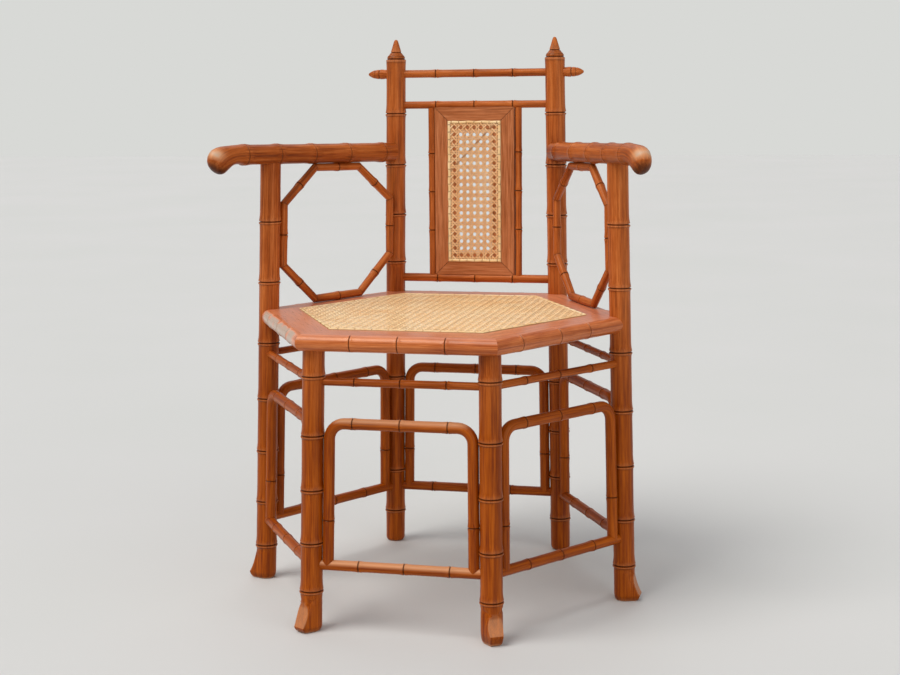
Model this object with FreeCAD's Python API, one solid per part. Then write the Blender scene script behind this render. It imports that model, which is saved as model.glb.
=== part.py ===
import FreeCAD
import Part
import math
import os

# Corner armchair of turned and carved imitation bamboo.
# Six posts stand on a hexagon with its flat sides to the front and to the back.
# The origin is the middle of the chair's box at floor level, +Y is the back, +Z is up.
# All lengths are in millimetres.

# Overall layout
seat_height = 445.0
hexagon_radius = 286.5
foot_spread = 11.5
back_rake = 22.0
front_leg_inset = 21.5
post_total_rise = 431.0

# Fits between pieces
joint_fit = 0.15
rest_gap = 0.3
tenon_end_gap = 0.5
mortise_floor = 7.0

# Posts
post_radius = 16.8

# Turned finial on each back post
finial_shoulder_drop = 38.0
finial_neck_radius = 12.4
finial_ring_drop = 22.0
finial_cone_radius = 8.4
finial_tip_radius = 1.4

# Carved toes on the front legs and arm posts
toe_reach = 25.5
toe_tip_width = 18.0
toe_tip_height = 10.0
toe_facet_top = 38.0

# Seat frame of six mitred boards
seat_board_thickness = 25.0
nosing_overhang = 16.0
seat_board_width = 68.0
leg_tenon_width = 18.0
leg_tenon_length = 17.0
mitre_tongue_thickness = 5.0
mitre_tongue_width = 24.0
mitre_tongue_length = 18.0
mitre_tongue_setback = 71.5

# Cane of the seat and of the back panel
cane_thickness = 1.0
binder_width = 5.0
binder_thickness = 1.6
seat_binder_setback = 58.5
back_binder_setback = 23.2
back_gap_pitch_across = 16.2
back_gap_pitch_up = 19.0
back_gap_width = 8.6
back_gap_columns = 5
back_gap_rows = 12
seat_gap_pitch = 50.0
seat_gap_width = 27.0

# Stretchers and arches between neighbouring posts
upper_stretcher_drop = 72.5
upper_stretcher_radius = 6.25
upper_stretcher_tenon = 7.0
low_stretcher_height = 99.5
low_stretcher_radius = 8.3
low_stretcher_tenon = 9.0
arch_drop = 134.0
arch_radius = 8.7
arch_bend_radius = 23.0
arch_bend_facets = 1
arch_foot_lift = 3.5

# Back rails, their tips and the caned panel
top_rail_rise = 372.8
top_rail_radius = 6.9
upper_rail_rise = 320.0
upper_rail_radius = 6.6
lower_rail_rise = 24.0
lower_rail_radius = 7.4
back_rail_tenon = 7.0
tip_reach = 49.0
tip_radius = 8.0
tip_taper_start = 28.0
tip_point_radius = 1.2
stile_radius = 6.0
panel_width = 139.4
panel_thickness = 11.0
panel_member_width = 39.0

# Arms with carved knuckle ends
arm_rise_at_back = 240.5
arm_rise_at_post = 248.5
arm_inboard = 7.0
arm_radius = 16.4
arm_back_end = 11.0
arm_back_tenon = 12.0
arm_post_tenon = 14.0
arm_post_tenon_length = 12.0
arm_post_cheek_drop = 5.0
arm_past_post = 93.0
knuckle_turn = 25.0
knuckle_run = 28.0
knuckle_dome = 8.0
knuckle_chamfer = 7.0

# Eight-sided stick ring below each arm
ring_stick_radius = 6.6
ring_inboard = 7.5
ring_top_start = 96.0
ring_top_end = 193.0
ring_bottom_start = 93.0
ring_bottom_end = 194.0
ring_rear_top_drop = 54.5
ring_front_top_drop = 55.0
ring_side_bottom_rise = 68.0

os.makedirs("parts", exist_ok=True)

far = 1500.0
seat_top = seat_height
seat_bottom = seat_height - seat_board_thickness
side_angle = 60.0
half_side = math.radians(side_angle / 2)

# Each post's direction from the centre of the seat, and its inset
posts = {
    "arm_post_right": (0.0, 0.0),
    "back_post_right": (60.0, 0.0),
    "back_post_left": (120.0, 0.0),
    "arm_post_left": (180.0, 0.0),
    "front_leg_left": (240.0, front_leg_inset),
    "front_leg_right": (300.0, front_leg_inset),
}
bays = (
    ("back_right", "arm_post_right", "back_post_right"),
    ("back", "back_post_right", "back_post_left"),
    ("back_left", "back_post_left", "arm_post_left"),
    ("front_left", "arm_post_left", "front_leg_left"),
    ("front", "front_leg_left", "front_leg_right"),
    ("front_right", "front_leg_right", "arm_post_right"),
)

# The seat's centre lies a little off the origin, so that the toes and the back posts reach equally far
toe_ring = hexagon_radius + foot_spread - front_leg_inset + toe_reach
shoulder_rise = (seat_height + post_total_rise - finial_shoulder_drop) / seat_height - 1
shoulder_ring = hexagon_radius - foot_spread * shoulder_rise
front_reach = toe_ring * math.sin(2 * half_side) + toe_tip_width / 2 * math.cos(2 * half_side) + back_rake
back_reach = shoulder_ring * math.sin(2 * half_side) + back_rake * shoulder_rise + post_radius
centre_y = (front_reach - back_reach) / 2

pieces = {}
cuts = {name: [] for name in posts}


def vector(x, y, z):
    return FreeCAD.Vector(x, y, z)


def unit(v):
    return v * (1.0 / v.Length)


def direction(angle):
    return vector(math.cos(math.radians(angle)), math.sin(math.radians(angle)), 0)


def axis_point(post, height):
    """Point on a post's leaning centre line at a height above the floor."""
    angle, inset = posts[post]
    rise = height / seat_height - 1
    ring = hexagon_radius - foot_spread * rise - inset
    return direction(angle) * ring + vector(0, back_rake * rise + centre_y, height)


def axes_at(origin, along, side):
    """Placement whose local Z runs along one direction, with local X towards a second."""
    z = unit(along)
    x = unit(side - z * side.dot(z))
    return FreeCAD.Placement(origin, FreeCAD.Rotation(x, z.cross(x), z, "ZXY"))


def turned(profile):
    """Solid of revolution about local Z from (radius, height) points."""
    points = [vector(0, 0, profile[0][1])]
    points += [vector(radius, 0, height) for radius, height in profile]
    points += [vector(0, 0, profile[-1][1])]
    outline = Part.makePolygon(points + points[:1])
    return Part.Face(outline).revolve(vector(0, 0, 0), vector(0, 0, 1), 360)


def rod(start, end, radius):
    run = end - start
    return Part.makeCylinder(radius, run.Length, start, run)


def square_bar(start, end, width, side):
    bar = Part.makeBox(width, width, (end - start).Length, vector(-width / 2, -width / 2, 0))
    bar.Placement = axes_at(start, end - start, side)
    return bar


def post_shaft(post, play):
    return rod(axis_point(post, -far), axis_point(post, far), post_radius + play)


def cut_beyond(shape, point, normal):
    """Takes away what lies past a plane, on the side that its normal points to."""
    block = Part.makeBox(2 * far, 2 * far, far, vector(-far, -far, 0))
    block.Placement = FreeCAD.Placement(point, FreeCAD.Rotation(vector(0, 0, 1), normal))
    return shape.cut(block)


def prism(points, depth):
    return Part.Face(Part.makePolygon(points + points[:1])).extrude(depth)


def mitred_rod(route, radius):
    """Round rod along a line of points, mitred at each."""
    path = Part.makePolygon(route)
    ring = Part.Wire(Part.makeCircle(radius, route[0], route[1] - route[0]))
    return path.makePipeShell([ring], True, False, 1)


def eased(corners, bend_radius, facets):
    """The same line of points with each inner corner rounded by short chords."""
    route = [corners[0]]
    for before, corner, after in zip(corners[:-2], corners[1:-1], corners[2:]):
        back = unit(before - corner)
        ahead = unit(after - corner)
        turn = math.pi - back.getAngle(ahead)
        centre = corner + unit(back + ahead) * (bend_radius / math.cos(turn / 2))
        spoke = corner + back * (bend_radius * math.tan(turn / 2)) - centre
        for step in range(facets + 1):
            swing = FreeCAD.Rotation(ahead.cross(back), math.degrees(turn) * step / facets)
            route.append(centre + swing.multVec(spoke))
    route.append(corners[-1])
    return route


# Rails meet the posts with coped shoulders and square tenons
def rail_between(first, second, height, radius, tenon):
    start = axis_point(first, height)
    end = axis_point(second, height)
    along = unit(end - start)
    up = vector(0, 0, 1)
    rail = rod(start, end, radius).cut([post_shaft(first, rest_gap), post_shaft(second, rest_gap)])
    for post, point, way in ((first, start, along), (second, end, along * -1.0)):
        mouth = point + way * (2 * post_radius)
        cuts[post].append(square_bar(point + way * mortise_floor, mouth, tenon + 2 * joint_fit, up))
        rail = rail.fuse(square_bar(point + way * (mortise_floor + tenon_end_gap), mouth, tenon, up))
    return rail.removeSplitter()


for bay, first, second in bays:
    pieces["upper_stretcher_" + bay] = rail_between(
        first, second, seat_height - upper_stretcher_drop, upper_stretcher_radius, upper_stretcher_tenon)
    pieces["low_stretcher_" + bay] = rail_between(
        first, second, low_stretcher_height, low_stretcher_radius, low_stretcher_tenon)

# Arches: bent rods whose legs follow both posts and stand astride the low stretcher
bar_height = seat_height - arch_drop
foot_height = low_stretcher_height + arch_foot_lift
for bay, first, second in bays:
    along = unit(axis_point(second, seat_height) - axis_point(first, seat_height))
    beside = along * (post_radius + arch_radius + rest_gap)
    corners = [
        axis_point(first, foot_height) + beside,
        axis_point(first, bar_height) + beside,
        axis_point(second, bar_height) - beside,
        axis_point(second, foot_height) - beside,
    ]
    arch = mitred_rod(eased(corners, arch_bend_radius, arch_bend_facets), arch_radius)
    stretcher = rod(
        axis_point(first, low_stretcher_height),
        axis_point(second, low_stretcher_height),
        low_stretcher_radius + rest_gap)
    pieces["arch_" + bay] = arch.cut(stretcher)

# Seat frame: six boards with a half-round nosing, mitred where the posts pass through
nosing_radius = seat_board_thickness / 2
nosing_corner_radius = hexagon_radius + nosing_overhang
seat_outer = nosing_corner_radius * math.cos(half_side)
seat_inner = seat_outer - seat_board_width
seat_centre = vector(0, centre_y, 0)


def seat_board(first_angle):
    """One board: its section pushed along its side of the hexagon, then mitred."""
    across = direction(first_angle + side_angle / 2)
    along = direction(first_angle + side_angle / 2 + 90)
    start = seat_centre - along * nosing_corner_radius
    inner_top = start + across * seat_inner + vector(0, 0, seat_top)
    inner_bottom = start + across * seat_inner + vector(0, 0, seat_bottom)
    outer_top = start + across * (seat_outer - nosing_radius) + vector(0, 0, seat_top)
    outer_bottom = start + across * (seat_outer - nosing_radius) + vector(0, 0, seat_bottom)
    crest = start + across * seat_outer + vector(0, 0, seat_top - nosing_radius)
    section = Part.Face(Part.Wire([
        Part.makeLine(inner_top, outer_top),
        Part.Arc(outer_top, crest, outer_bottom).toShape(),
        Part.makeLine(outer_bottom, inner_bottom),
        Part.makeLine(inner_bottom, inner_top),
    ]))
    board = section.extrude(along * (2 * nosing_corner_radius))
    board = cut_beyond(board, seat_centre, direction(first_angle - 90))
    return cut_beyond(board, seat_centre, direction(first_angle + side_angle + 90))


def mitre_tongue(angle, play):
    """Loose tongue across one mitre of the seat frame."""
    length = mitre_tongue_length + 2 * play
    width = mitre_tongue_width + 2 * play
    thickness = mitre_tongue_thickness + 2 * play
    tongue = Part.makeBox(length, width, thickness, vector(-play, -width / 2, -thickness / 2))
    start = seat_centre + direction(angle) * (nosing_corner_radius - mitre_tongue_setback)
    middle = start + vector(0, 0, (seat_top + seat_bottom) / 2)
    tongue.Placement = FreeCAD.Placement(middle, FreeCAD.Rotation(vector(0, 0, 1), angle))
    return tongue


def leg_tenon(post, play):
    start = axis_point(post, seat_bottom - nosing_radius)
    end = axis_point(post, seat_bottom + leg_tenon_length + play)
    return square_bar(start, end, leg_tenon_width + 2 * play, direction(posts[post][0]))


seat_cuts = []
for post, (angle, inset) in posts.items():
    seat_cuts.append(mitre_tongue(angle, joint_fit))
    if inset:
        seat_cuts.append(leg_tenon(post, joint_fit))
    else:
        seat_cuts.append(post_shaft(post, joint_fit))
for bay, first, second in bays:
    pieces["seat_board_" + bay] = seat_board(posts[first][0]).cut(seat_cuts)
tongues = [mitre_tongue(angle, 0.0) for angle, inset in posts.values()]
pieces["seat_mitre_tongues"] = Part.makeCompound(tongues)


# Cane is one sheet with a grid of gaps for its open weave
def square_gap(middle, across, up, width):
    corners = [middle + (across * i + up * k) * (width / 2) for i, k in ((-1, -1), (1, -1), (1, 1), (-1, 1))]
    return Part.makePolygon(corners + corners[:1])


def cane_sheet(outline, gaps, depth):
    net = Part.Face([outline.OuterWire] + gaps)
    net.validate()
    return net.extrude(depth)


# Seat cane lies on the boards, its edge held down by a ring of binder cane
def seat_hexagon(corner_radius):
    points = [seat_centre + direction(side_angle * i) * corner_radius for i in range(6)]
    points = [point + vector(0, 0, seat_top) for point in points]
    return Part.Face(Part.makePolygon(points + points[:1]))


binder_outer = (seat_outer - seat_binder_setback) / math.cos(half_side)
binder_inner = binder_outer - binder_width / math.cos(half_side)
binder = seat_hexagon(binder_outer).cut(seat_hexagon(binder_inner))
pieces["seat_binder"] = binder.extrude(vector(0, 0, binder_thickness))
seat_gaps = []
gap_count = int(binder_inner / seat_gap_pitch)
for column in range(-gap_count, gap_count):
    for row in range(-gap_count, gap_count):
        middle = vector((column + 0.5) * seat_gap_pitch, (row + 0.5) * seat_gap_pitch, 0)
        reach = max(middle.dot(direction(side_angle * (i + 0.5))) for i in range(6))
        if reach + seat_gap_width < seat_inner + nosing_radius:
            place = seat_centre + middle + vector(0, 0, seat_top)
            seat_gaps.append(square_gap(place, vector(1, 0, 0), vector(0, 1, 0), seat_gap_width))
pieces["seat_cane"] = cane_sheet(
    seat_hexagon(binder_inner - rest_gap), seat_gaps, vector(0, 0, cane_thickness))

# Back rails
top_rail_height = seat_height + top_rail_rise
upper_rail_height = seat_height + upper_rail_rise
lower_rail_height = seat_height + lower_rail_rise
for name, height, radius in (
        ("back_top_rail", top_rail_height, top_rail_radius),
        ("back_upper_rail", upper_rail_height, upper_rail_radius),
        ("back_lower_rail", lower_rail_height, lower_rail_radius)):
    pieces[name] = rail_between("back_post_left", "back_post_right", height, radius, back_rail_tenon)

# Pointed tips carry the line of the top rail on past both posts
tips = []
for post in ("back_post_left", "back_post_right"):
    axis = axis_point(post, top_rail_height)
    way = vector(math.copysign(1.0, axis.x), 0, 0)
    up = vector(0, 0, 1)
    tip = turned((
        (tip_radius, 0.0),
        (tip_radius, tip_taper_start),
        (tip_point_radius, tip_reach),
    ))
    tip.Placement = axes_at(axis, way, up)
    peg_start = axis + way * (mortise_floor + tenon_end_gap)
    peg = square_bar(peg_start, axis + way * tip_taper_start, back_rail_tenon, up)
    tips.append(tip.cut(post_shaft(post, rest_gap)).fuse(peg))
    cuts[post].append(square_bar(
        axis + way * mortise_floor, axis + way * tip_reach, back_rail_tenon + 2 * joint_fit, up))
pieces["back_rail_tips"] = Part.makeCompound(tips)


# The panel lies in the plane of the two back posts, which leans back
def back_middle(height):
    return (axis_point("back_post_left", height) + axis_point("back_post_right", height)) * 0.5


def back_cope(height, radius):
    start = axis_point("back_post_left", height)
    end = axis_point("back_post_right", height)
    return rod(start, end, radius + joint_fit)


def cope_depth(rail_radius):
    return math.sqrt((rail_radius + joint_fit) ** 2 - (panel_thickness / 2) ** 2)


panel_up = back_middle(upper_rail_height) - back_middle(lower_rail_height)
panel_place = axes_at(back_middle(lower_rail_height), panel_up, vector(1, 0, 0))
rail_copes = [
    back_cope(upper_rail_height, upper_rail_radius),
    back_cope(lower_rail_height, lower_rail_radius),
]
front_face = -panel_thickness / 2
panel_half = panel_width / 2
panel_low = cope_depth(lower_rail_radius)
panel_high = panel_up.Length - cope_depth(upper_rail_radius)
opening_half = panel_half - panel_member_width
opening_low = panel_low + panel_member_width
opening_high = panel_high - panel_member_width


def panel_member(outline):
    points = [vector(x, front_face, z) for x, z in outline]
    member = prism(points, vector(0, panel_thickness, 0))
    member.Placement = panel_place
    return member.cut(rail_copes)


pieces["panel_top"] = panel_member([
    (-panel_half, panel_high), (panel_half, panel_high),
    (opening_half, opening_high), (-opening_half, opening_high)])
pieces["panel_bottom"] = panel_member([
    (-panel_half, panel_low), (panel_half, panel_low),
    (opening_half, opening_low), (-opening_half, opening_low)])
for side, sign in (("left", -1), ("right", 1)):
    pieces["panel_" + side] = panel_member([
        (sign * panel_half, panel_low), (sign * panel_half, panel_high),
        (sign * opening_half, opening_high), (sign * opening_half, opening_low)])
    beside = sign * (panel_half + stile_radius + joint_fit)
    stile = Part.makeCylinder(stile_radius, panel_up.Length, vector(beside, 0, 0))
    stile.Placement = panel_place
    pieces["back_stile_" + side] = stile.cut(rail_copes)


# Back cane and its binder
def panel_rectangle(half_width, low, high):
    points = [vector(x, front_face, z) for x, z in (
        (-half_width, low), (half_width, low), (half_width, high), (-half_width, high))]
    return Part.Face(Part.makePolygon(points + points[:1]))


binder_half = panel_half - back_binder_setback
binder_low = panel_low + back_binder_setback
binder_high = panel_high - back_binder_setback
inner_half = binder_half - binder_width
inner_low = binder_low + binder_width
inner_high = binder_high - binder_width
binder = panel_rectangle(binder_half, binder_low, binder_high).cut(
    panel_rectangle(inner_half, inner_low, inner_high))
pieces["back_binder"] = binder.extrude(vector(0, -binder_thickness, 0))
pieces["back_binder"].Placement = panel_place

sheet = panel_rectangle(inner_half - rest_gap, inner_low + rest_gap, inner_high - rest_gap)
back_gaps = []
for column in range(back_gap_columns):
    for row in range(back_gap_rows):
        across = (column - (back_gap_columns - 1) / 2) * back_gap_pitch_across
        above = (row - (back_gap_rows - 1) / 2) * back_gap_pitch_up
        middle = vector(across, front_face, (inner_low + inner_high) / 2 + above)
        back_gaps.append(square_gap(middle, vector(1, 0, 0), vector(0, 0, 1), back_gap_width))
pieces["back_cane"] = cane_sheet(sheet, back_gaps, vector(0, -cane_thickness, 0))
pieces["back_cane"].Placement = panel_place


# Arms: round rails from each back post over the arm post to a drooping knuckle
def bay_line(side, height):
    """A side bay's rear corner, its direction forward and its direction towards the seat."""
    rear = axis_point("back_post_" + side, height)
    along = unit(axis_point("arm_post_" + side, height) - rear)
    across = vector(along.y, -along.x, 0)
    if side == "left":
        across = across * -1.0
    return rear, along, across


def bay_length(side, height):
    return (axis_point("arm_post_" + side, height) - axis_point("back_post_" + side, height)).Length


def arm_height(side, reach):
    share = reach / bay_length(side, seat_height + arm_rise_at_post)
    return seat_height + arm_rise_at_back + (arm_rise_at_post - arm_rise_at_back) * share


def arm_axis(side, reach):
    """Point on an arm's centre line at a distance forward of the back post."""
    rear, along, across = bay_line(side, seat_height + arm_rise_at_back)
    point = rear + along * reach + across * arm_inboard
    return vector(point.x, point.y, arm_height(side, reach))


def post_tenon(side, play):
    """Square tenon on top of the arm post."""
    post = "arm_post_" + side
    above = arm_height(side, bay_length(side, seat_height + arm_rise_at_post)) - arm_radius
    start = axis_point(post, above - arm_post_tenon_length)
    end = axis_point(post, above + arm_post_tenon_length + play)
    return square_bar(start, end, arm_post_tenon + 2 * play, bay_line(side, seat_height)[1])


for side in ("left", "right"):
    rear, along, across = bay_line(side, arm_height(side, arm_back_end))
    bend = arm_axis(side, bay_length(side, seat_height + arm_rise_at_post) + arm_past_post)
    straight = unit(bend - arm_axis(side, 0.0))
    droop = FreeCAD.Rotation(straight.cross(vector(0, 0, 1)), -knuckle_turn)
    end = bend + droop.multVec(straight) * knuckle_run
    arm = mitred_rod([arm_axis(side, 0.0), bend, end], arm_radius)
    knob = turned((
        (arm_radius, 0.0),
        (arm_radius - knuckle_chamfer, knuckle_dome),
    ))
    knob.Placement = axes_at(end, droop.multVec(straight), vector(0, 0, 1))
    arm = cut_beyond(arm.fuse(knob), rear + along * arm_back_end, along * -1.0)
    arm = arm.cut([post_shaft("back_post_" + side, rest_gap), post_tenon(side, joint_fit)])
    tenon_start = rear + along * (mortise_floor + tenon_end_gap)
    tenon = square_bar(tenon_start, rear + along * (2 * post_radius), arm_back_tenon, vector(0, 0, 1))
    pieces["arm_" + side] = arm.fuse(tenon)
    cuts["back_post_" + side].append(square_bar(
        rear + along * mortise_floor, rear + along * (2 * post_radius),
        arm_back_tenon + 2 * joint_fit, vector(0, 0, 1)))

# Eight-sided rings between arm and seat: two level sticks and two bent side pieces
arm_gap = arm_radius + ring_stick_radius + rest_gap
side_gap = math.sqrt((post_radius + ring_stick_radius + rest_gap) ** 2 - ring_inboard ** 2)
spare = 3 * ring_stick_radius


def ring_point(side, reach, height):
    rear, along, across = bay_line(side, height)
    return rear + along * reach + across * ring_inboard


def ring_top(side, reach):
    point = arm_axis(side, reach) + bay_line(side, seat_height)[2] * (ring_inboard - arm_inboard)
    return point - vector(0, 0, arm_gap)


def ring_piece(corners, before, after):
    """Bent stick through some corners, mitred at its ends with the next pieces."""
    first = unit(corners[0] - corners[1])
    last = unit(corners[-1] - corners[-2])
    route = [corners[0] + first * spare] + corners[1:-1] + [corners[-1] + last * spare]
    stick = mitred_rod(route, ring_stick_radius)
    stick = cut_beyond(stick, corners[0], unit(before - corners[0]) + first)
    return cut_beyond(stick, corners[-1], unit(after - corners[-1]) + last)


for side in ("left", "right"):
    bottom = seat_top + ring_stick_radius + rest_gap
    rear_top = arm_height(side, 0.0) - arm_gap - ring_rear_top_drop
    front_top = arm_height(side, ring_top_end) - arm_gap - ring_front_top_drop
    side_bottom = seat_top + ring_side_bottom_rise
    top_rear = ring_top(side, ring_top_start)
    top_front = ring_top(side, ring_top_end)
    front_high = ring_point(side, bay_length(side, front_top) - side_gap, front_top)
    front_low = ring_point(side, bay_length(side, side_bottom) - side_gap, side_bottom)
    bottom_front = ring_point(side, ring_bottom_end, bottom)
    bottom_rear = ring_point(side, ring_bottom_start, bottom)
    rear_low = ring_point(side, side_gap, side_bottom)
    rear_high = ring_point(side, side_gap, rear_top)
    ring = "ring_" + side
    pieces[ring + "_top"] = ring_piece([top_rear, top_front], rear_high, front_high)
    pieces[ring + "_front"] = ring_piece(
        [top_front, front_high, front_low, bottom_front], top_rear, bottom_rear)
    pieces[ring + "_bottom"] = ring_piece([bottom_front, bottom_rear], front_low, rear_low)
    pieces[ring + "_rear"] = ring_piece(
        [bottom_rear, rear_low, rear_high, top_rear], bottom_front, top_front)


# Posts last, once every mortise in them is known
def post_stick(post, top, crown):
    """Round post from below the floor line to its top, with points of a turned crown above."""
    base = axis_point(post, 0)
    lengths = [((axis_point(post, height) - base).Length, radius) for radius, height in crown]
    profile = [(post_radius, -post_radius), (post_radius, (axis_point(post, top) - base).Length)]
    stick = turned(profile + [(radius, length) for length, radius in lengths])
    stick.Placement = axes_at(base, axis_point(post, seat_height) - base, direction(posts[post][0]))
    return stick


def toe(post):
    """Foot that reaches outward: a tapering plan under a sloping facet."""
    half_tip = toe_tip_width / 2
    plan = [
        vector(0, -post_radius, -toe_tip_height), vector(toe_reach, -half_tip, -toe_tip_height),
        vector(toe_reach, half_tip, -toe_tip_height), vector(0, post_radius, -toe_tip_height)]
    block = prism(plan, vector(0, 0, toe_tip_height + toe_facet_top))
    slope = vector(toe_facet_top - toe_tip_height, 0, toe_reach - post_radius)
    block = cut_beyond(block, vector(toe_reach, 0, toe_tip_height), slope)
    block.Placement = axes_at(
        axis_point(post, 0), axis_point(post, seat_height) - axis_point(post, 0), direction(posts[post][0]))
    return block


floor = Part.makeBox(2 * far, 2 * far, far, vector(-far, -far, -far))
finial_top = seat_height + post_total_rise
shoulder = finial_top - finial_shoulder_drop
finial_ring = finial_top - finial_ring_drop
finial = (
    (finial_neck_radius, shoulder),
    (finial_neck_radius, finial_ring),
    (finial_cone_radius, finial_ring),
    (finial_tip_radius, finial_top),
)
for side in ("left", "right"):
    back = "back_post_" + side
    pieces[back] = post_stick(back, shoulder, finial).cut(cuts[back] + [floor])

    arm_post = "arm_post_" + side
    meeting = bay_length(side, seat_height + arm_rise_at_post)
    cheek_top = arm_height(side, meeting) - arm_post_cheek_drop
    under_arm = rod(arm_axis(side, 0.0), arm_axis(side, 2 * meeting), arm_radius + rest_gap)
    body = post_stick(arm_post, cheek_top, ()).cut(under_arm)
    body = body.fuse([toe(arm_post), post_tenon(side, 0.0)])
    pieces[arm_post] = body.cut(cuts[arm_post] + [floor])

    leg = "front_leg_" + side
    body = cut_beyond(post_stick(leg, seat_top, ()), vector(0, 0, seat_bottom), vector(0, 0, 1))
    pieces[leg] = body.fuse([toe(leg), leg_tenon(leg, 0.0)]).cut(cuts[leg] + [floor])

for name, shape in pieces.items():
    shape.exportStep("parts/" + name + ".step")
    print(name, len(shape.Solids), round(shape.Volume / 1000.0, 2), "cm3")
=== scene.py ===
import bpy
import itertools
import numpy as np
from math import acos, atan2, copysign, cos, exp, hypot, pi, radians, sin, sqrt, tan
from mathutils import Matrix, Vector, noise
from numpy.linalg import norm


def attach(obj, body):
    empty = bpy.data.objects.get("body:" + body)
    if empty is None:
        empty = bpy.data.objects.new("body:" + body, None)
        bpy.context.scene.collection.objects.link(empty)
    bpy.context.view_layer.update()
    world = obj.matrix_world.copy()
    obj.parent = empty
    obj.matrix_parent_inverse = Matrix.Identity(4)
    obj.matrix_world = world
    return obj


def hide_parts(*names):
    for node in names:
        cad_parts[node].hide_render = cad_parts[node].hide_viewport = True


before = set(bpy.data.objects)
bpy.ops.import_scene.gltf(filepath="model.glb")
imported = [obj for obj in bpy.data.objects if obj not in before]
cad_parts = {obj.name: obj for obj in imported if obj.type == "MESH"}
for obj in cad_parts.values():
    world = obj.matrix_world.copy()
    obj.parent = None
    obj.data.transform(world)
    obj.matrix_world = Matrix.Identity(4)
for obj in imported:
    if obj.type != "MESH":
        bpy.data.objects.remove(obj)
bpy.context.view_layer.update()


def vec(*v):
    return np.array(v, float)


# lengths are in millimetres; MM turns them into Blender's metres
MM = 0.001
SEAT = 445.0  # top of the seat
HEXAGON = 286.5  # from the middle to the posts' axes, at the seat
SPREAD = 11.5  # how much further out the posts stand on the floor
RAKE = 22.0  # how far they lean back between floor and seat
INSET = 21.5  # how much nearer to the middle the front legs stand
CENTRE_Y = 6.245  # middle of the seat
NOSING_CORNER = 302.5  # from the seat's middle to a corner of its nosing
HALF = radians(30.0)
# radii of the solids and the gap that pieces beside each other keep
POST_SOLID, ARCH_SOLID, RING_SOLID, ARM_SOLID = 16.8, 8.7, 6.6, 16.4
GAP, PANEL_GAP = 0.3, 0.15

POSTS = {
    # direction from the middle, inset
    "arm_post_right": (0.0, 0.0),
    "back_post_right": (60.0, 0.0),
    "back_post_left": (120.0, 0.0),
    "arm_post_left": (180.0, 0.0),
    "front_leg_left": (240.0, INSET),
    "front_leg_right": (300.0, INSET),
}
BAY_NAMES = ("back_right", "back", "back_left", "front_left", "front", "front_right")
# each bay lies between a post and the next one round the chair
BAYS = list(zip(BAY_NAMES, POSTS, list(POSTS)[1:] + list(POSTS)[:1]))
SIDE_NAMES = ("left", "right")
UP, RIGHT = vec(0, 0, 1), vec(1, 0, 0)


def unit(v):
    return v / norm(v)


def turned(v):
    """A flat direction turned a quarter to the left."""
    return np.array((-v[1], v[0]))


def clamp(value):
    return max(0.0, min(1.0, value))


def heading(angle):
    return vec(cos(radians(angle)), sin(radians(angle)), 0)


def axis_point(post, height):
    angle, inset = POSTS[post]
    rise = height / SEAT - 1
    return heading(angle) * (HEXAGON - SPREAD * rise - inset) + vec(0, RAKE * rise + CENTRE_Y, height)


def wobble(p, size):
    """Slow smooth noise, for the small unevenness of hand work."""
    return noise.noise(Vector(p) * size)


def add(name, data):
    """New object in the scene."""
    made = bpy.data.objects.new(name, data)
    bpy.context.scene.collection.objects.link(made)
    return made


# ---------- mesh building
class Shell:
    """Vertices, faces and per-point facts of one piece, in millimetres."""

    def __init__(self, seed):
        self.points, self.faces, self.grain, self.dark, self.tone = [], [], [], [], []
        self.shift = vec(seed * 37.1 % 91, seed * 53.7 % 83, seed * 219.3 % 977)

    def ring(self, points, grain, dark, tone=0.0):
        """Adds points and gives the number of the first. Dark and tone are one value or a list."""
        first = len(self.points)
        self.points += [tuple(p) for p in points]
        self.grain += [tuple(np.array(g) + self.shift) for g in grain]
        for kept, given in ((self.dark, dark), (self.tone, tone)):
            kept += list(given) if hasattr(given, "__len__") else [given] * len(points)
        return first

    def bridge(self, a, b, n):
        for k in range(n):
            self.faces.append((a + k, a + (k + 1) % n, b + (k + 1) % n, b + k))

    def hub(self, first, n, flip):
        """Closes a ring with triangles round its middle."""
        ids = range(first, first + n)
        middle = len(self.points)
        for facts in (self.points, self.grain):
            facts.append(tuple(np.mean([facts[i] for i in ids], axis=0)))
        for facts in (self.dark, self.tone):
            facts.append(float(np.mean([facts[i] for i in ids])))
        for k in range(n):
            a, b = ids[k], ids[(k + 1) % n]
            self.faces.append((b, a, middle) if flip else (a, b, middle))

    def lid(self, first, n, flip):
        """Closes a ring with one face."""
        face = tuple(range(first, first + n))
        self.faces.append(face[::-1] if flip else face)

    def loft(self, rings, n, close=None):
        """Skin over rings of n points each; close is hub, lid or nothing."""
        for a, b in zip(rings[:-1], rings[1:]):
            self.bridge(a, b, n)
        if close:
            close(rings[0], n, True)
            close(rings[-1], n, False)

    def lighten_top_highlight_and_wear(self, height, radius, most, steep):
        """Paler wood on the upper side of a level stick: painted highlight from the light above, with some
        wear.
        """
        self.tone = [most * clamp(steep * (p[2] - height) / radius) for p in self.points]

    def build(self, name, material, slot="varnished_wood", smooth=40.0):
        """Makes the mesh, which takes the place of the node of that name."""
        mesh = bpy.data.meshes.new(name)
        mesh.from_pydata([tuple(c * MM for c in p) for p in self.points], [], self.faces)
        mesh.validate()
        for label, kind, key, values in (
                ("grain", "FLOAT_VECTOR", "vector", np.array(self.grain) * MM),
                ("dark", "FLOAT", "value", self.dark),
                ("tone", "FLOAT", "value", self.tone)):
            layer = mesh.attributes.new(label, kind, "POINT")
            layer.data.foreach_set(key, np.array(values, np.float32).ravel())
        mesh.shade_smooth()
        mesh.set_sharp_from_angle(angle=radians(smooth))
        mesh.materials.append(material)
        piece = add(name, mesh)
        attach(piece, "root")
        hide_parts(name)


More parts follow.
